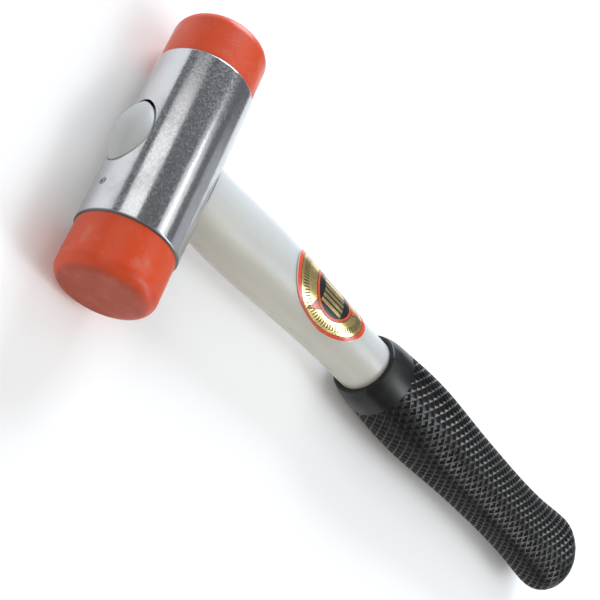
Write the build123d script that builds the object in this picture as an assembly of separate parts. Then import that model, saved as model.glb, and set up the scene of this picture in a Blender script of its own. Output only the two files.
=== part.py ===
from build123d import *
import os
from math import cos, pi, radians, sin, sqrt

# Soft-face mallet lying on its side, in millimetres.
# Shapes are drawn about the point where the head axis (Y) meets the handle axis (X),
# then moved so that the table is z = 0 and the origin is under the middle of the tool.

# Head
head_radius = 16.0
head_length = 62.0
rim_round = 1.0
socket_radius = 12.0
socket_depth = 15.0
socket_chamfer = 0.5
eye_y = -1.35
eye_half_length = 11.55
eye_half_width = 7.7
punch_mark_radius = 1.7
punch_mark_depth = 0.5
punch_mark_offset = 20.4

# Faces
face_radius = 15.45
face_length = 17.3
face_round = 4.4
spigot_radius = 11.95
spigot_length = 14.5
spigot_chamfer = 0.8
groove_depth = 0.6
groove_width = 1.6
groove_pitch = 4.2

# Handle
tenon_y = -1.8
tenon_half_length = 10.8
tenon_half_width = 7.4
dome_rise = 3.7
dome_edge_rise = 0.4
shoulder_gap = 0.2
shoulder_x = 8.0
tang_end = 260.0
tang_chamfer = 1.5

# Grip
mouth_x = 111.0
grip_gap = 0.25
lip_round = 0.6
pommel_y = -0.4
pommel_half_y = 17.2
pommel_half_z = 13.0
pommel_round = 13.0
pommel_end = 270.8

# Foil label
label_x = 74.6
label_half_length = 20.3
label_half_arc = 13.5
label_turn = 17.0
label_gap = 0.15
label_thickness = 0.2
label_bend_radius = 10.9
label_outline_points = 32

shift = Location((-(pommel_end - head_radius - dome_rise) / 2, 0, head_radius))

# Oval sections along the tool: distance from the head axis, middle in Y, half size in Y, half size in Z.
handle_sections = [
    (shoulder_x, -1.3, 12.2, 8.6),
    (26.0, -0.9, 12.8, 9.5),
    (40.0, -0.5, 13.0, 10.2),
    (52.0, -0.1, 12.6, 10.6),
    (64.7, 0.0, 11.8, 10.7),
    (78.4, 0.0, 11.0, 10.6),
    (92.5, 0.0, 10.4, 10.6),
    (112.0, 0.0, 10.3, 10.8),
    (135.0, 0.0, 10.6, 10.4),
    (165.0, 0.0, 10.8, 9.8),
    (200.0, 0.0, 10.4, 8.8),
    (235.0, 0.0, 10.2, 8.4),
    (tang_end, 0.0, 9.8, 8.0),
]
grip_sections = [
    (mouth_x, 0.0, 11.8, 12.4),
    (114.8, 0.0, 13.2, 13.5),
    (122.5, 0.0, 14.1, 14.1),
    (130.5, 0.0, 14.9, 14.45),
    (138.6, 0.0, 15.6, 14.65),
    (150.0, 0.0, 16.05, 14.65),
    (164.0, 0.0, 15.8, 13.9),
    (182.5, 0.0, 15.1, 12.8),
    (201.6, -0.1, 14.7, 12.2),
    (221.7, -0.3, 14.7, 11.9),
    (242.7, pommel_y, 15.8, 12.3),
    (pommel_end - pommel_round, pommel_y, pommel_half_y, pommel_half_z),
]


def oval(x, y, half_y, half_z):
    return Plane.YZ.offset(x) * Pos(y, 0) * Ellipse(half_y, half_z)


def oval_loft(sections, grow=0.0):
    return loft([oval(x, y, half_y + grow, half_z + grow) for x, y, half_y, half_z in sections])


def head_body():
    body = Rot(90, 0, 0) * Cylinder(head_radius, head_length)
    body = fillet(body.edges().filter_by(GeomType.CIRCLE), rim_round)
    socket = Cylinder(socket_radius, socket_depth)
    mouth = Cone(socket_radius, socket_radius + socket_chamfer, socket_chamfer)
    for side in (-1, 1):
        turn = Rot(-90 * side, 0, 0)
        body -= Pos(0, side * (head_length - socket_depth) / 2, 0) * turn * socket
        body -= Pos(0, side * (head_length - socket_chamfer) / 2, 0) * turn * mouth
    eye = extrude(oval(-2 * head_radius, eye_y, eye_half_length, eye_half_width), 4 * head_radius)
    punch = Sphere(punch_mark_radius)
    punch_x = -(head_radius + punch_mark_radius - punch_mark_depth)
    return body - eye - Pos(punch_x, -punch_mark_offset, 0) * punch


def striking_face():
    # Drawn pointing up +Z from the rim of the head, with its spigot below.
    collar = Cylinder(face_radius, face_length, align=(Align.CENTER, Align.CENTER, Align.MIN))
    collar = fillet(collar.edges().group_by(Axis.Z)[-1], face_round)
    spigot = Cylinder(spigot_radius, spigot_length, align=(Align.CENTER, Align.CENTER, Align.MAX))
    spigot = chamfer(spigot.edges().group_by(Axis.Z)[0], spigot_chamfer)
    for ring in (1, 2):
        groove = Cylinder(socket_radius, groove_width) - Cylinder(spigot_radius - groove_depth, groove_width)
        spigot -= Pos(0, 0, -ring * groove_pitch) * groove
    return collar + spigot


def tenon():
    # Oval stub through the eye. Its end is crowned by a barrel about an axis along Y,
    # so that it stands proud of the round head all the way round.
    half_y = tenon_half_length
    half_z = tenon_half_width
    top = head_radius + dome_rise
    edge = -head_radius - dome_edge_rise
    drop = top - sqrt(head_radius ** 2 - half_z ** 2) - dome_edge_rise
    barrel_radius = (half_z ** 2 + drop ** 2) / (2 * drop)
    centre = barrel_radius - top
    crown = ThreePointArc((edge, -half_y), (-top, 0), (edge, half_y))
    base = Polyline((edge, half_y), (centre, half_y), (centre, -half_y), (edge, -half_y))
    barrel = revolve(make_face(crown + base), Axis((centre, 0, 0), (0, 1, 0)))
    stub = extrude(oval(-top, 0, half_y, half_z), top + head_radius)
    below_dome = Pos(centre, 0, 0) * Box(2 * top, 2 * top, 2 * top,
                                         align=(Align.MIN, Align.CENTER, Align.CENTER))
    return Pos(0, tenon_y, 0) * (stub & (barrel + below_dome))


def handle():
    # The shoulder is hollowed to sit on the round underside of the head.
    body = oval_loft(handle_sections)
    body = chamfer(body.edges().group_by(Axis.X)[-1], tang_chamfer)
    body -= Rot(90, 0, 0) * Cylinder(head_radius + shoulder_gap, head_length)
    return body + tenon()


def grip_sleeve():
    cap_outline = Polyline((pommel_end, 0), (pommel_end, pommel_half_y - pommel_round))
    cap_outline += RadiusArc((pommel_end, pommel_half_y - pommel_round),
                             (pommel_end - pommel_round, pommel_half_y), -pommel_round)
    cap_outline += Polyline((pommel_end - pommel_round, pommel_half_y),
                            (pommel_end - pommel_round, 0), (pommel_end, 0))
    cap = scale(revolve(make_face(cap_outline), Axis.X), (1, 1, pommel_half_z / pommel_half_y))
    cap = Pos(0, pommel_y, 0) * cap
    outside = oval_loft(grip_sections)
    outside = fillet(outside.edges().group_by(Axis.X)[0], lip_round) + cap
    return outside - oval_loft(handle_sections, grip_gap)


def foil_label():
    # An oval cut from a thin skin round the handle; its outline keeps its shape along the bend.
    skin = oval_loft(handle_sections, label_gap + label_thickness) - oval_loft(handle_sections, label_gap)
    outline = []
    for i in range(label_outline_points):
        turn = 2 * pi * i / label_outline_points
        arc = label_half_arc * sin(turn) / label_bend_radius
        outline.append((label_half_length * cos(turn), label_bend_radius * sin(arc)))
    facing = radians(label_turn)
    plane = Plane(origin=(label_x, 0, 0), x_dir=(1, 0, 0), z_dir=(0, sin(facing), cos(facing)))
    window = extrude(plane * make_face(Spline(outline, periodic=True)), 2 * label_bend_radius)
    return skin & window


os.makedirs("parts", exist_ok=True)
face = striking_face()
parts = {
    "head_body": head_body(),
    "front_face": Pos(0, -head_length / 2, 0) * Rot(90, 0, 0) * face,
    "rear_face": Pos(0, head_length / 2, 0) * Rot(-90, 0, 0) * face,
    "handle": handle(),
    "grip_sleeve": grip_sleeve(),
    "foil_label": foil_label(),
}
for node, shape in parts.items():
    export_step(shift * shape, f"parts/{node}.step")
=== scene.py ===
import bpy
import math
from mathutils import Matrix, Vector
from mathutils.bvhtree import BVHTree


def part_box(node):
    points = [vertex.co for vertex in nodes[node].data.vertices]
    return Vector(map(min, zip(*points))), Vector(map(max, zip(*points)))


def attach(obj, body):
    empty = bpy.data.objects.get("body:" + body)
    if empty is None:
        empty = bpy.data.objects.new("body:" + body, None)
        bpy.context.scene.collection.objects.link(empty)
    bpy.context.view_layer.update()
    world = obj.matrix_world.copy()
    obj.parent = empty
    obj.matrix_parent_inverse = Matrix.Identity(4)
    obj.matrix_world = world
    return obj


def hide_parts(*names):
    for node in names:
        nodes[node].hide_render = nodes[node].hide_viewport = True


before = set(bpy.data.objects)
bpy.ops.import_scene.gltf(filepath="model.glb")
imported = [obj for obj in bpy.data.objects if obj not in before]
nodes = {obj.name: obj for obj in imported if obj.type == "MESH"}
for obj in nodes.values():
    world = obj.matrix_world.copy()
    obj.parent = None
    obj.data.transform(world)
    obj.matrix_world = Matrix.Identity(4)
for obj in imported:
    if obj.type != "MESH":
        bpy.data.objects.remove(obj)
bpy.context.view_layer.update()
print("frame loaded:", ", ".join(sorted(nodes)))

mm = 0.001
headLow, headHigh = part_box("head_body")
headX = (headLow.x + headHigh.x) / 2
axisZ = (headLow.z + headHigh.z) / 2
headMiddle = Vector((headX, 0, axisZ))


def deselectAll():
    if bpy.context.mode != "OBJECT":
        bpy.ops.object.mode_set(mode="OBJECT")
    bpy.ops.object.select_all(action="DESELECT")


def activate(obj):
    deselectAll()
    obj.select_set(True)
    bpy.context.view_layer.objects.active = obj


def settle(obj):
    activate(obj)
    bpy.ops.object.transform_apply(location=True, rotation=True, scale=True)


def skinTree(node):
    # a node's own surface, to measure on
    mesh = nodes[node].data
    return BVHTree.FromPolygons([v.co for v in mesh.vertices], [p.vertices for p in mesh.polygons])


def ovalAt(tree, x, outside=100 * mm):
    # middle in Y, half size in Y and half size in Z of a node's section, felt from well outside it
    sideA = tree.ray_cast(Vector((x, -outside, axisZ)), Vector((0, 1, 0)))[0]
    sideB = tree.ray_cast(Vector((x, outside, axisZ)), Vector((0, -1, 0)))[0]
    middle = (sideA.y + sideB.y) / 2
    top = tree.ray_cast(Vector((x, middle, axisZ + outside)), Vector((0, 0, -1)))[0]
    return middle, (sideB.y - sideA.y) / 2, top.z - axisZ


camera = {
    "place": (-0.16946, -0.18884, 0.25340),  # from the middle of the head
    "right": (0.55513, 0.32160, 0.76707),
    "up": (-0.56919, 0.81935, 0.06841),
    "back": (-0.60650, -0.47459, 0.63790),
    "lens": 72.0,
    "sensor": 36,
    "nearest": 10 * mm,
}

camData = bpy.data.cameras.new("camera")
camData.lens = camera["lens"]
camData.sensor_width = camera["sensor"]
camData.clip_start = camera["nearest"]
camObj = bpy.data.objects.new("camera", camData)
bpy.context.scene.collection.objects.link(camObj)
turn = Matrix((camera["right"], camera["up"], camera["back"])).transposed()
camObj.rotation_euler = turn.to_euler()
camObj.location = Vector(camera["place"]) + headMiddle
bpy.context.scene.camera = camObj

studio = {
    "world": (0.17, 0.175, 0.185, 1),
    "floorSize": 12,
    "floorColour": (0.94, 0.94, 0.94, 1),
    "floorRoughness": 0.9,
    "lights": {
        # direction from the head, distance, width, length, long side, power, colour
        "sideSoftbox": ((-0.82, 0.0, 0.57), 1.3, 0.84, 1.85, (0, 1, 0), 6.4, (1.0, 0.99, 0.98)),
        "topStrip": ((0.40, 0.0, 0.917), 1.3, 0.58, 1.7, (0, 1, 0), 3.2, (0.97, 0.99, 1.0)),
        "topGlint": ((0.385, 0.0, 0.923), 1.25, 0.14, 1.7, (0, 1, 0), 1.3, (1.0, 1.0, 1.0)),
        "farPanel": ((0.95, 0.0, 0.31), 1.4, 0.8, 1.9, (0, 1, 0), 1.9, (0.92, 0.96, 1.0)),
        "gripStrip": ((0.804, -0.302, 0.512), 1.46, 0.18, 1.1, (0.85, -0.53, 0), 4.8, (1.0, 1.0, 1.0)),
        "handleSheen": ((0.62, -0.10, 0.78), 1.25, 0.50, 0.60, (1, 0, 0), 3.8, (0.80, 0.92, 1.0)),
        "rearFill": ((0.05, 0.93, 0.36), 1.6, 1.1, 0.9, (1, 0, 0), 29.0, (0.86, 0.93, 1.0)),
        "frontFill": ((-0.30, -0.75, 0.60), 1.5, 1.8, 1.8, (1, 0, 0), 5.0, (1.0, 0.84, 0.64)),
    },
}

world = bpy.data.worlds.new("studio")
bpy.context.scene.world = world
world.use_nodes = True
world.node_tree.nodes["Background"].inputs["Color"].default_value = studio["world"]
bpy.context.scene.view_settings.view_transform = "Standard"

for name, (direction, distance, width, length, longSide, power, colour) in studio["lights"].items():
    data = bpy.data.lights.new(name, "AREA")
    data.shape = "RECTANGLE"
    data.size, data.size_y = width, length
    data.energy = power
    data.color = colour
    lamp = bpy.data.objects.new(name, data)
    bpy.context.scene.collection.objects.link(lamp)
    back = Vector(direction).normalized()
    lamp.location = headMiddle + back * distance
    side = Vector(longSide)
    along = (side - back * back.dot(side)).normalized()
    lamp.rotation_euler = Matrix((along.cross(back), along, back)).transposed().to_euler()

deselectAll()
bpy.ops.mesh.primitive_plane_add(size=studio["floorSize"])
floor = bpy.context.object
floor.name = "floor"
paper = bpy.data.materials.new("floorPaper")
paper.use_nodes = True
paperShader = paper.node_tree.nodes["Principled BSDF"]
paperShader.inputs["Base Color"].default_value = studio["floorColour"]
paperShader.inputs["Roughness"].default_value = studio["floorRoughness"]
floor.data.materials.append(paper)
print("camera, lights and floor set")


def addNode(tree, kind, values=None, **settings):
    node = tree.nodes.new(kind)
    for key, value in settings.items():
        setattr(node, key, value)
    for key, value in (values or {}).items():
        feed(tree, node.inputs[key], value)
    return node


def feed(tree, socket, value):
    # a link when the value comes from another node, else a plain setting
    if isinstance(value, bpy.types.NodeSocket):
        tree.links.new(value, socket)
    else:
        socket.default_value = value


def newMaterial(name):
    mat = bpy.data.materials.new(name)
    mat.use_nodes = True
    tree = mat.node_tree
    return mat, tree, tree.nodes["Principled BSDF"]


def maths(tree, operation, a, b=0.0):
    return addNode(tree, "ShaderNodeMath", {0: a, 1: b}, operation=operation).outputs[0]


def inverse(tree, value):
    return maths(tree, "SUBTRACT", 1.0, value)


def weighted(tree, *pairs):
    # the sum of some values, each times its weight
    total = None
    for value, weight in pairs:
        part = value if weight == 1 else maths(tree, "MULTIPLY", value, weight)
        total = part if total is None else maths(tree, "ADD", total, part)
    return total


def ramp(tree, value, low, high, outLow=0.0, outHigh=1.0):
    return addNode(tree, "ShaderNodeMapRange", {0: value, 1: low, 2: high, 3: outLow, 4: outHigh},
                   interpolation_type="SMOOTHSTEP").outputs[0]


def between(tree, value, low, high):
    return maths(tree, "MULTIPLY", maths(tree, "GREATER_THAN", value, low),
                 maths(tree, "LESS_THAN", value, high))


def blendColour(tree, factor, a, b):
    mix = addNode(tree, "ShaderNodeMix", data_type="RGBA", blend_type="MIX")
    for number, value in ((0, factor), (6, a), (7, b)):  # the colour sockets of a Mix node
        feed(tree, mix.inputs[number], value)
    return mix.outputs[2]


def objectPlace(tree, stretch=(1, 1, 1), centre=(0, 0, 0)):
    place = addNode(tree, "ShaderNodeTexCoord").outputs["Object"]
    offset = tuple(-c * s for c, s in zip(centre, stretch))
    return addNode(tree, "ShaderNodeMapping",
                   {"Vector": place, "Scale": stretch, "Location": offset}).outputs[0]


def addBump(tree, bsdf, height, strength, depth):
    bump = addNode(tree, "ShaderNodeBump", {"Height": height, "Strength": strength, "Distance": depth})
    tree.links.new(bump.outputs[0], bsdf.inputs["Normal"])


wear = {
    "inputs": {"Cloud Scale": 60.0, "Speckle Scale": 900.0, "Scratch Scale": 120.0, "Scratch Amount": 0.5},
    "cloud": {"Detail": 4.0, "Roughness": 0.55},
    "speckle": {"Detail": 2.0, "Roughness": 0.6},
    "scratch": {"Detail": 3.0, "Distortion": 1.4},
    "scratchWidth": 0.012,
    "scratchPatches": (0.45, 0.7),
    "roughnessAt": (0.3, 0.7),
}


def handledSurface():
    # clouding, fine speckle and short scratches that a used tool shows, each from 0 to 1
    group = bpy.data.node_groups.new("handledSurface", "ShaderNodeTree")
    group.interface.new_socket("Vector", in_out="INPUT", socket_type="NodeSocketVector")
    for title, value in wear["inputs"].items():
        group.interface.new_socket(title, in_out="INPUT", socket_type="NodeSocketFloat").default_value = value
    for title in ("Cloud", "Speckle", "Scratches"):
        group.interface.new_socket(title, in_out="OUTPUT", socket_type="NodeSocketFloat")
    given, result = group.nodes.new("NodeGroupInput"), group.nodes.new("NodeGroupOutput")

    def noise(title, settings):
        values = {"Vector": given.outputs["Vector"], "Scale": given.outputs[title + " Scale"], **settings}
        return addNode(group, "ShaderNodeTexNoise", values).outputs["Fac"]

    cloud, speckle = noise("Cloud", wear["cloud"]), noise("Speckle", wear["speckle"])
    # a scratch is where the third noise passes through its middle, on some patches only
    line = maths(group, "ABSOLUTE", maths(group, "SUBTRACT", noise("Scratch", wear["scratch"]), 0.5))
    thin = ramp(group, line, 0.0, wear["scratchWidth"], 1.0, 0.0)
    patchy = ramp(group, cloud, *wear["scratchPatches"])
    scratches = maths(group, "MULTIPLY", maths(group, "MULTIPLY", thin, patchy),
                      given.outputs["Scratch Amount"])
    for title, value in (("Cloud", cloud), ("Speckle", speckle), ("Scratches", scratches)):
        group.links.new(value, result.inputs[title])
    return group


handled = handledSurface()


def useHandled(tree, vector, values):
    # values in the order of the group's own inputs
    node = addNode(tree, "ShaderNodeGroup", {"Vector": vector}, node_tree=handled)
    for title, value in zip(wear["inputs"], values):
        node.inputs[title].default_value = value
    return node.outputs["Cloud"], node.outputs["Speckle"], node.outputs["Scratches"]


def cloudedRoughness(tree, cloud, low, high):
    return ramp(tree, cloud, *wear["roughnessAt"], low, high)


plating = {
    "colour": (0.59, 0.595, 0.61, 1),
    "tarnish": (0.49, 0.50, 0.52, 1),
    "tarnishAt": (0.42, 0.72),
    "grain": (1.0, 0.8, 1.0),
    "handled": (110.0, 1500.0, 170.0, 0.5),
    "cloudShare": 0.2,
    "speckleShare": 0.8,
    "mottleAt": (0.35, 0.65),
    "roughness": (0.12, 0.24),
    "scratchRoughness": 0.25,
    "scratchDepth": 0.6,
    "bump": (0.25, 0.04 * mm),
    "punch": (-16.0 * mm, -20.4 * mm, 0.0),
    "punchReach": (0.88 * mm, 1.6 * mm),
    # painted shade: dark colour laid in the punch mark's dimple
    "punchShade": (0.03, 0.03, 0.03, 1),
    "punchShadeAmount": 0.6,
    # painted shadow: dark colour laid on the rounded rims next to the faces
    "rim": (0.12, 0.12, 0.125, 1),
    "rimAmount": 0.95,
    "rimStart": 1.0 * mm,
    "rimFull": 0.4 * mm,
    "rimRoughness": 0.3,
}


def platedSteel():
    mat, tree, bsdf = newMaterial("platedSteel")
    cloud, speckle, scratches = useHandled(tree, objectPlace(tree, plating["grain"]), plating["handled"])
    colour = blendColour(tree, ramp(tree, cloud, *plating["tarnishAt"]), plating["colour"], plating["tarnish"])
    # rounded rims next to the faces: painted shadow, a dark line standing in for the shade where the tube meets
    # the faces, and also really duller
    parts = addNode(tree, "ShaderNodeSeparateXYZ", {0: objectPlace(tree)})
    rim = ramp(tree, maths(tree, "ABSOLUTE", parts.outputs[1]), headHigh.y - plating["rimStart"],
               headHigh.y - plating["rimFull"], 0.0, plating["rimAmount"])
    colour = blendColour(tree, rim, colour, plating["rim"])
    # painted shade darkening the punch mark's dimple
    spot = Vector(plating["punch"]) + headMiddle
    away = addNode(tree, "ShaderNodeVectorMath", {0: objectPlace(tree), 1: tuple(spot)},
                   operation="DISTANCE").outputs["Value"]
    punchShadeMask = ramp(tree, away, *plating["punchReach"], plating["punchShadeAmount"], 0.0)
    tree.links.new(blendColour(tree, punchShadeMask, colour, plating["punchShade"]), bsdf.inputs["Base Color"])
    mottle = weighted(tree, (cloud, plating["cloudShare"]), (speckle, plating["speckleShare"]))
    rough = weighted(tree, (ramp(tree, mottle, *plating["mottleAt"], *plating["roughness"]), 1),
                     (scratches, plating["scratchRoughness"]), (rim, plating["rimRoughness"]))
    tree.links.new(rough, bsdf.inputs["Roughness"])
    addBump(tree, bsdf, weighted(tree, (mottle, 1), (scratches, -plating["scratchDepth"])), *plating["bump"])
    bsdf.inputs["Metallic"].default_value = 1.0
    return mat


plastic = {
    "colour": (0.60, 0.060, 0.012, 1),
    "aged": (0.44, 0.055, 0.022, 1),
    "agedAt": (0.3, 0.8),
    "agedAmount": 0.35,
    "smudge": (0.50, 0.15, 0.10, 1),
    "smudgeAt": (0.28, 0.46),
    "smudgeAmount": 0.6,
    "worn": (0.36, 0.060, 0.028, 1),
    "wornStart": 1.6 * mm,
    "wornFull": 0.1 * mm,
    "wornAt": (0.2, 0.55),
    "wornLeast": 0.55,
    "wornRoughness": 0.2,
    "scratch": (0.75, 0.3, 0.2, 1),
    "scratchAmount": 0.3,
    "handled": (130.0, 1300.0, 260.0, 0.7),
    "roughness": (0.3, 0.42),
    "speckleDepth": 0.4,
    "cloudDepth": 0.9,
    "bump": (0.3, 0.25 * mm),
    "specular": 0.35,
    "glow": 0.12,
    "glowRadius": (3.0 * mm, 1.0 * mm, 0.6 * mm),
}


def orangePlastic():
    mat, tree, bsdf = newMaterial("orangePlastic")
    centred = objectPlace(tree, centre=headMiddle)
    cloud, speckle, scratches = useHandled(tree, centred, plastic["handled"])
    aged = maths(tree, "MULTIPLY", ramp(tree, cloud, *plastic["agedAt"]), plastic["agedAmount"])
    colour = blendColour(tree, aged, plastic["colour"], plastic["aged"])
    smudge = maths(tree, "MULTIPLY", ramp(tree, cloud, *plastic["smudgeAt"], 1.0, 0.0), plastic["smudgeAmount"])
    colour = blendColour(tree, smudge, colour, plastic["smudge"])
    # the striking ends are duller and darker
    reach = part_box("rear_face")[1].y
    parts = addNode(tree, "ShaderNodeSeparateXYZ", {0: centred})
    endOn = ramp(tree, maths(tree, "ABSOLUTE", parts.outputs[1]),
                 reach - plastic["wornStart"], reach - plastic["wornFull"])
    worn = maths(tree, "MULTIPLY", endOn, ramp(tree, cloud, *plastic["wornAt"], plastic["wornLeast"], 1.0))
    colour = blendColour(tree, worn, colour, plastic["worn"])
    colour = blendColour(tree, maths(tree, "MULTIPLY", scratches, plastic["scratchAmount"]),
                         colour, plastic["scratch"])
    tree.links.new(colour, bsdf.inputs["Base Color"])
    rough = weighted(tree, (cloudedRoughness(tree, cloud, *plastic["roughness"]), 1),
                     (worn, plastic["wornRoughness"]))
    tree.links.new(rough, bsdf.inputs["Roughness"])
    height = weighted(tree, (speckle, plastic["speckleDepth"]), (cloud, plastic["cloudDepth"]), (scratches, -1))
    addBump(tree, bsdf, height, *plastic["bump"])
    bsdf.inputs["Specular IOR Level"].default_value = plastic["specular"]
    bsdf.inputs["Subsurface Weight"].default_value = plastic["glow"]
    bsdf.inputs["Subsurface Radius"].default_value = plastic["glowRadius"]
    bsdf.inputs["Subsurface Scale"].default_value = 1.0
    return mat


nylon = {
    "colour": (0.525, 0.51, 0.455, 1),
    "deep": (0.47, 0.452, 0.39, 1),
    "deepAt": (0.35, 0.75),
    # painted light: cool tint for the uppermost side of the handle
    "paintedCoolLight": (0.51, 0.52, 0.52, 1),
    "paintedCoolLightAt": (-5.0 * mm, 9.0 * mm),
    "paintedCoolLightLean": (0.8, 0.6),
    "stub": (0.43, 0.445, 0.45, 1),
    "stubAt": (-15.5 * mm, -11.0 * mm),
    "grain": (0.35, 1, 1),
    "handled": (55.0, 1100.0, 190.0, 0.8),
    "roughness": (0.29, 0.38),
    "scratchRoughness": 0.15,
    "speckleDepth": 0.35,
    "cloudDepth": 0.3,
    "scratchDepth": 0.7,
    "bump": (0.25, 0.2 * mm),
    "glow": 0.35,
    "glowRadius": (6.0 * mm, 5.0 * mm, 3.8 * mm),
}


def naturalNylon():
    mat, tree, bsdf = newMaterial("naturalNylon")
    cloud, speckle, scratches = useHandled(tree, objectPlace(tree, nylon["grain"]), nylon["handled"])
    colour = blendColour(tree, ramp(tree, cloud, *nylon["deepAt"]), nylon["colour"], nylon["deep"])
    # painted light: the side that lies uppermost is tinted cooler, standing in for cool light from above;
    # greyer where it comes through the steel
    parts = addNode(tree, "ShaderNodeSeparateXYZ", {0: objectPlace(tree, centre=headMiddle)})
    leanY, leanZ = nylon["paintedCoolLightLean"]
    paintedCoolLight = ramp(tree, weighted(tree, (parts.outputs[1], leanY), (parts.outputs[2], leanZ)), *nylon["paintedCoolLightAt"])
    colour = blendColour(tree, paintedCoolLight, colour, nylon["paintedCoolLight"])
    stub = ramp(tree, parts.outputs[0], *nylon["stubAt"], 1.0, 0.0)
    tree.links.new(blendColour(tree, stub, colour, nylon["stub"]), bsdf.inputs["Base Color"])
    rough = weighted(tree, (cloudedRoughness(tree, cloud, *nylon["roughness"]), 1),
                     (scratches, nylon["scratchRoughness"]))
    tree.links.new(rough, bsdf.inputs["Roughness"])
    height = weighted(tree, (speckle, nylon["speckleDepth"]), (cloud, nylon["cloudDepth"]),
                      (scratches, -nylon["scratchDepth"]))
    addBump(tree, bsdf, height, *nylon["bump"])
    bsdf.inputs["Subsurface Weight"].default_value = nylon["glow"]
    bsdf.inputs["Subsurface Radius"].default_value = nylon["glowRadius"]
    bsdf.inputs["Subsurface Scale"].default_value = 1.0
    return mat


rubber = {
    "colour": (0.0055, 0.0055, 0.0058, 1),
    "dust": (0.015, 0.0145, 0.013, 1),
    "dustAt": (0.4, 0.75),
    "dustAmount": 0.6,
    "handled": (70.0, 1600.0, 240.0, 0.4),
    "roughness": (0.25, 0.34),
    "bump": (0.3, 0.1 * mm),
    "specular": 0.32,
}


def blackRubber():
    mat, tree, bsdf = newMaterial("blackRubber")
    cloud, speckle, scratches = useHandled(tree, objectPlace(tree), rubber["handled"])
    dusty = maths(tree, "MULTIPLY", ramp(tree, cloud, *rubber["dustAt"]), rubber["dustAmount"])
    tree.links.new(blendColour(tree, dusty, rubber["colour"], rubber["dust"]), bsdf.inputs["Base Color"])
    tree.links.new(cloudedRoughness(tree, cloud, *rubber["roughness"]), bsdf.inputs["Roughness"])
    addBump(tree, bsdf, weighted(tree, (speckle, 1), (scratches, -1)), *rubber["bump"])
    bsdf.inputs["Specular IOR Level"].default_value = rubber["specular"]
    return mat


grip = {
    "segments": 88,
    "collarLength": 11.8 * mm,
    "collarRings": 6,
    "capLength": 4.9 * mm,
    "capRings": (0.25, 0.5, 0.7, 0.85, 0.95, 0.99),  # shares of the way to the tip
    "boreGap": 0.25 * mm,
    "boreDepth": 5 * mm,
    "boreBevel": 0.3 * mm,
    "lip": 0.6 * mm,
    "lipTurns": (0, 30, 60),
    "diamondsAround": 22,
    "diamondLength": 4.1 * mm,
    "crestHalf": 0.2 * mm,
    "slope": 0.8 * mm,
    "pitDepth": 0.8 * mm,
    "endFold": 0.8,
    "sink": 1.0 * mm,  # how far the core lies under the knurl
    "sinkStep": 0.2 * mm,
    "joinGap": 0.1 * mm,
    "crease": 38,
}


def drawRings(name, segments, rings):
    # a tube drawn out ring by ring; a ring is x, middle in Y, half size in Y, half size in Z
    x, middle, halfY, halfZ = rings[0]
    deselectAll()
    bpy.ops.mesh.primitive_circle_add(vertices=segments, radius=1, location=(x, middle, axisZ),
                                      rotation=(0, math.radians(90), 0))
    obj = bpy.context.object
    obj.name = name
    obj.scale = (halfZ, halfY, 1)
    settle(obj)
    bpy.ops.object.mode_set(mode="EDIT")
    bpy.ops.mesh.select_mode(type="EDGE")
    bpy.ops.mesh.select_all(action="SELECT")
    for last, ring in zip(rings, rings[1:]):
        step = (ring[0] - last[0], ring[1] - last[1], 0)
        bpy.ops.mesh.extrude_region_move(TRANSFORM_OT_translate={"value": step})
        bpy.ops.transform.resize(value=(1, ring[2] / last[2], ring[3] / last[3]),
                                 center_override=(ring[0], ring[1], axisZ))
    bpy.ops.object.mode_set(mode="OBJECT")
    return obj


def grown(ring, amount, x=None):
    return (ring[0] if x is None else x, ring[1], ring[2] + amount, ring[3] + amount)


def ringAt(tree, x):
    return (x, *ovalAt(tree, x))


def knurlRings(tree, start, end, fineStep=0.1 * mm):
    # rings one diamond apart along the surface, round the pommel too
    place = ringAt(tree, start)
    rings = [place]
    x, walked = start, 0.0
    while x < end:
        x += fineStep
        ahead = ringAt(tree, x)
        walked += math.hypot(fineStep, (ahead[2] + ahead[3] - place[2] - place[3]) / 2)
        place = ahead
        if walked >= grip["diamondLength"]:
            rings.append(place)
            walked = 0.0
    return rings


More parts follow.
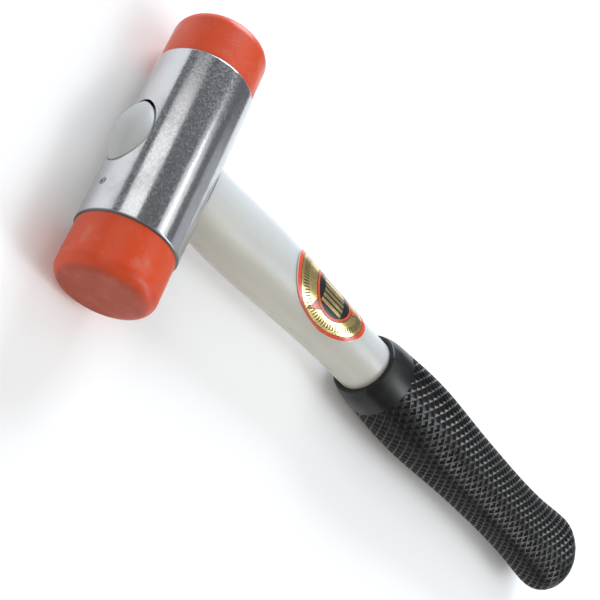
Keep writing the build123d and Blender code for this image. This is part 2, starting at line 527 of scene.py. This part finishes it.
def makeKnurl(rings):
    obj = drawRings("knurl", grip["diamondsAround"], rings)
    mesh = obj.data
    crossings = len(mesh.vertices)
    bpy.ops.object.mode_set(mode="EDIT")
    bpy.ops.mesh.select_mode(type="FACE")
    bpy.ops.mesh.select_all(action="SELECT")
    bpy.ops.mesh.poke()
    bpy.ops.mesh.select_all(action="DESELECT")
    bpy.ops.object.mode_set(mode="OBJECT")
    # the square net's own edges go, which leaves the diamonds
    ends, nearEnough = (rings[0][0], rings[-1][0]), 0.05 * mm
    for edge in mesh.edges:
        first, second = (mesh.vertices[i] for i in edge.vertices)
        onEnd = any(abs(first.co.x - x) + abs(second.co.x - x) < nearEnough for x in ends)
        edge.select = max(edge.vertices) < crossings and not onEnd
    bpy.ops.object.mode_set(mode="EDIT")
    bpy.ops.mesh.select_mode(type="EDGE")
    bpy.ops.mesh.dissolve_edges(use_verts=False)
    bpy.ops.object.mode_set(mode="OBJECT")
    wrap = obj.modifiers.new("toGrip", "SHRINKWRAP")
    wrap.target = nodes["grip_sleeve"]
    wrap.wrap_method = "NEAREST_SURFACEPOINT"
    bpy.ops.object.modifier_apply(modifier=wrap.name)
    bpy.ops.object.mode_set(mode="EDIT")
    bpy.ops.mesh.select_mode(type="FACE")
    bpy.ops.mesh.select_all(action="SELECT")
    bpy.ops.mesh.normals_make_consistent(inside=False)
    bpy.ops.mesh.inset(thickness=grip["crestHalf"], use_individual=True)
    bpy.ops.mesh.inset(thickness=grip["slope"], depth=-grip["pitDepth"], use_individual=True)
    # both ends turn in and meet, so the net is closed
    bpy.ops.mesh.select_mode(type="EDGE")
    bpy.ops.mesh.select_all(action="DESELECT")
    bpy.ops.mesh.select_non_manifold()
    bpy.ops.mesh.extrude_region_move(TRANSFORM_OT_translate={"value": (0, 0, 0)})
    bpy.ops.transform.resize(value=(1, grip["endFold"], grip["endFold"]),
                             center_override=(0, rings[0][1], axisZ))
    bpy.ops.mesh.bridge_edge_loops()
    bpy.ops.mesh.select_all(action="SELECT")
    bpy.ops.mesh.normals_make_consistent(inside=False)
    bpy.ops.object.mode_set(mode="OBJECT")
    return obj


def makeCore(tree, bore, low, high, knurlRow):
    # from inside the bore out over the bevel of the mouth
    lip = grip["lip"]
    hole = grown(ringAt(bore, low.x), grip["boreGap"])
    rings = [grown(hole, 0, low.x + grip["boreDepth"]), grown(hole, 0, low.x + grip["boreBevel"]),
             grown(hole, grip["boreBevel"])]
    # rounded lip
    mouth = ringAt(tree, low.x + lip)
    for turned in grip["lipTurns"]:
        angle = math.radians(turned)
        rings.append(grown(mouth, -lip * (1 - math.sin(angle)), low.x + lip * (1 - math.cos(angle))))
    # smooth collar
    start, end = knurlRow[0][0], knurlRow[-1][0]
    gap, step = grip["joinGap"], grip["sinkStep"]
    last = grip["collarRings"] - 1
    for i in range(grip["collarRings"]):
        rings.append(ringAt(tree, low.x + lip + (start - gap - low.x - lip) * i / last))
    # body under the knurl
    rings += [grown(ring, -grip["sink"], ring[0] + step) for ring in knurlRow[:-1]]
    rings.append(grown(knurlRow[-1], -grip["sink"], end - step))
    # smooth end of the pommel
    rings.append(ringAt(tree, end + gap))
    rings += [ringAt(tree, end + (high.x - end) * share) for share in grip["capRings"]]
    obj = drawRings("gripCore", grip["segments"], rings)
    bpy.ops.object.mode_set(mode="EDIT")
    bpy.ops.mesh.edge_face_add()
    bpy.ops.mesh.poke()
    bpy.ops.mesh.select_all(action="DESELECT")
    bpy.ops.mesh.select_non_manifold()
    bpy.ops.mesh.edge_face_add()
    bpy.ops.mesh.poke()
    bpy.ops.mesh.select_all(action="SELECT")
    bpy.ops.mesh.normals_make_consistent(inside=False)
    bpy.ops.object.mode_set(mode="OBJECT")
    return obj


def makeGrip():
    tree, bore = skinTree("grip_sleeve"), skinTree("handle")
    low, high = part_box("grip_sleeve")
    rings = knurlRings(tree, low.x + grip["collarLength"], high.x - grip["capLength"])
    core = makeCore(tree, bore, low, high, rings)
    knurl = makeKnurl(rings)
    activate(core)
    knurl.select_set(True)
    bpy.ops.object.join()
    core.name = "knurledGrip"
    bpy.ops.object.shade_smooth_by_angle(angle=math.radians(grip["crease"]))
    return core


knurledGrip = makeGrip()
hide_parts("grip_sleeve")
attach(knurledGrip, "mallet_body")
print("grip made:", len(knurledGrip.data.polygons), "faces")


label = {
    "middle": headX + 74.6 * mm,
    "turn": math.radians(17),
    "bend": 10.9 * mm,  # the handle's radius under the label
    "halfLength": 20.3 * mm,
    "halfArc": 13.5 * mm,
    "border": 0.90,
    "borderLine": 0.012,
    "cutEdge": 0.985,
    "ringMiddle": (0.9 * mm, 0.4 * mm),
    "ringHalf": (10.0 * mm, 8.4 * mm),
    "ringWidth": 0.8 * mm,
    "ringLine": 1.04,
    "ticks": 76,
    "tickShare": 0.45,
    "tickBand": (0.70, 0.83),
    "pointers": (-127, 2),
    "pointerTip": 13.4 * mm,
    "pointerLength": 4.8 * mm,
    "pointerHalf": 1.9 * mm,
    "pointerLine": 0.4 * mm,
    "barPitch": 1.9 * mm,
    "barShare": 0.66,
    "barReach": 5.6 * mm,
    "red": (0.62, 0.07, 0.025, 1),
    "gold": (0.86, 0.66, 0.29, 1),
    "goldDeep": (0.60, 0.44, 0.16, 1),
    "goldDeepAt": (0.35, 0.7),
    "black": (0.012, 0.012, 0.013, 1),
    "ink": (0.05, 0.035, 0.02, 1),
    "clear": (0.56, 0.54, 0.48, 1),
    "handled": (160.0, 1500.0, 300.0, 0.6),
    "metal": 0.9,
    "roughness": (0.18, 0.30),
    "scratchRoughness": 0.25,
    "scratchDepth": 0.4,
    "bump": (0.3, 0.2 * mm),
    "coat": 0.1,
    "coatRoughness": 0.2,
}


def ovalReach(tree, u, v, halfU, halfV):
    # 1 on the oval's edge, less inside it
    squareU = maths(tree, "POWER", maths(tree, "DIVIDE", u, halfU), 2.0)
    squareV = maths(tree, "POWER", maths(tree, "DIVIDE", v, halfV), 2.0)
    return maths(tree, "SQRT", maths(tree, "ADD", squareU, squareV))


def stripes(tree, value, share):
    # 1 on the first part of each whole step, 0 on the rest
    return maths(tree, "LESS_THAN", maths(tree, "FRACT", value), share)


def printed(tree, mask, colour, paint, metal):
    # flat ink laid over the foil
    return blendColour(tree, mask, colour, paint), maths(tree, "MULTIPLY", metal, inverse(tree, mask))


def foilLabel():
    mat, tree, bsdf = newMaterial("foilLabel")
    place = objectPlace(tree)
    cloud, speckle, scratches = useHandled(tree, place, label["handled"])
    colour = blendColour(tree, ramp(tree, cloud, *label["goldDeepAt"]), label["gold"], label["goldDeep"])
    metal = 1.0
    # u along the handle and v round it, from the middle of the label and from the middle of the ring
    parts = addNode(tree, "ShaderNodeSeparateXYZ", {0: place})
    angle = maths(tree, "ARCTAN2", parts.outputs[1], maths(tree, "SUBTRACT", parts.outputs[2], axisZ))
    u = maths(tree, "SUBTRACT", parts.outputs[0], label["middle"])
    v = maths(tree, "MULTIPLY", maths(tree, "SUBTRACT", angle, label["turn"]), label["bend"])
    ringU, ringV = (maths(tree, "SUBTRACT", *pair) for pair in zip((u, v), label["ringMiddle"]))
    edge = ovalReach(tree, u, v, label["halfLength"], label["halfArc"])
    disc = ovalReach(tree, ringU, ringV, *label["ringHalf"])
    # plain ticks between the ring and the border
    around = maths(tree, "ARCTAN2", maths(tree, "DIVIDE", v, label["halfArc"]),
                   maths(tree, "DIVIDE", u, label["halfLength"]))
    ticks = stripes(tree, maths(tree, "MULTIPLY", around, label["ticks"] / math.tau), label["tickShare"])
    ticks = maths(tree, "MULTIPLY", ticks, between(tree, edge, *label["tickBand"]))
    colour, metal = printed(tree, ticks, colour, label["ink"], metal)
    # pointers on the ring, each over its own dark outline
    for turned in label["pointers"]:
        c, s = math.cos(math.radians(turned)), math.sin(math.radians(turned))
        outward = weighted(tree, (ringU, c), (ringV, s))
        sideways = maths(tree, "ABSOLUTE", weighted(tree, (ringV, c), (ringU, -s)))
        toTip = maths(tree, "SUBTRACT", label["pointerTip"], outward)
        half = maths(tree, "MULTIPLY", toTip, label["pointerHalf"] / label["pointerLength"])
        for grow, paint in ((label["pointerLine"], label["ink"]), (0.0, label["red"])):
            mask = maths(tree, "LESS_THAN", sideways, maths(tree, "ADD", half, grow))
            mask = maths(tree, "MULTIPLY", mask, between(tree, outward, 0.0, label["pointerTip"] + grow))
            colour, metal = printed(tree, mask, colour, paint, metal)
    # ring and dark disc with plain bars
    inner = 1.0 - label["ringWidth"] / label["ringHalf"][1]
    for reach, paint in ((label["ringLine"], label["ink"]), (1.0, label["red"]), (inner, label["black"])):
        colour, metal = printed(tree, maths(tree, "LESS_THAN", disc, reach), colour, paint, metal)
    bars = stripes(tree, maths(tree, "DIVIDE", ringV, label["barPitch"]), label["barShare"])
    for value in (ringU, ringV):
        inside = maths(tree, "LESS_THAN", maths(tree, "ABSOLUTE", value), label["barReach"])
        bars = maths(tree, "MULTIPLY", bars, inside)
    colour, metal = blendColour(tree, bars, colour, label["gold"]), maths(tree, "MAXIMUM", metal, bars)
    # border and the clear cut edge
    for reach, paint in ((label["border"] - label["borderLine"], label["ink"]), (label["border"], label["red"]),
                         (label["cutEdge"], label["clear"])):
        colour, metal = printed(tree, maths(tree, "GREATER_THAN", edge, reach), colour, paint, metal)
    tree.links.new(colour, bsdf.inputs["Base Color"])
    tree.links.new(maths(tree, "MULTIPLY", metal, label["metal"]), bsdf.inputs["Metallic"])
    rough = weighted(tree, (cloudedRoughness(tree, cloud, *label["roughness"]), 1),
                     (scratches, label["scratchRoughness"]))
    tree.links.new(rough, bsdf.inputs["Roughness"])
    addBump(tree, bsdf, weighted(tree, (cloud, 1), (scratches, -label["scratchDepth"])), *label["bump"])
    bsdf.inputs["Coat Weight"].default_value = label["coat"]
    bsdf.inputs["Coat Roughness"].default_value = label["coatRoughness"]
    return mat


orange = orangePlastic()
for piece, mat in ((nodes["head_body"], platedSteel()), (nodes["front_face"], orange),
                   (nodes["rear_face"], orange), (nodes["handle"], naturalNylon()),
                   (knurledGrip, blackRubber()), (nodes["foil_label"], foilLabel())):
    piece.data.materials.clear()
    piece.data.materials.append(mat)
print("materials made")
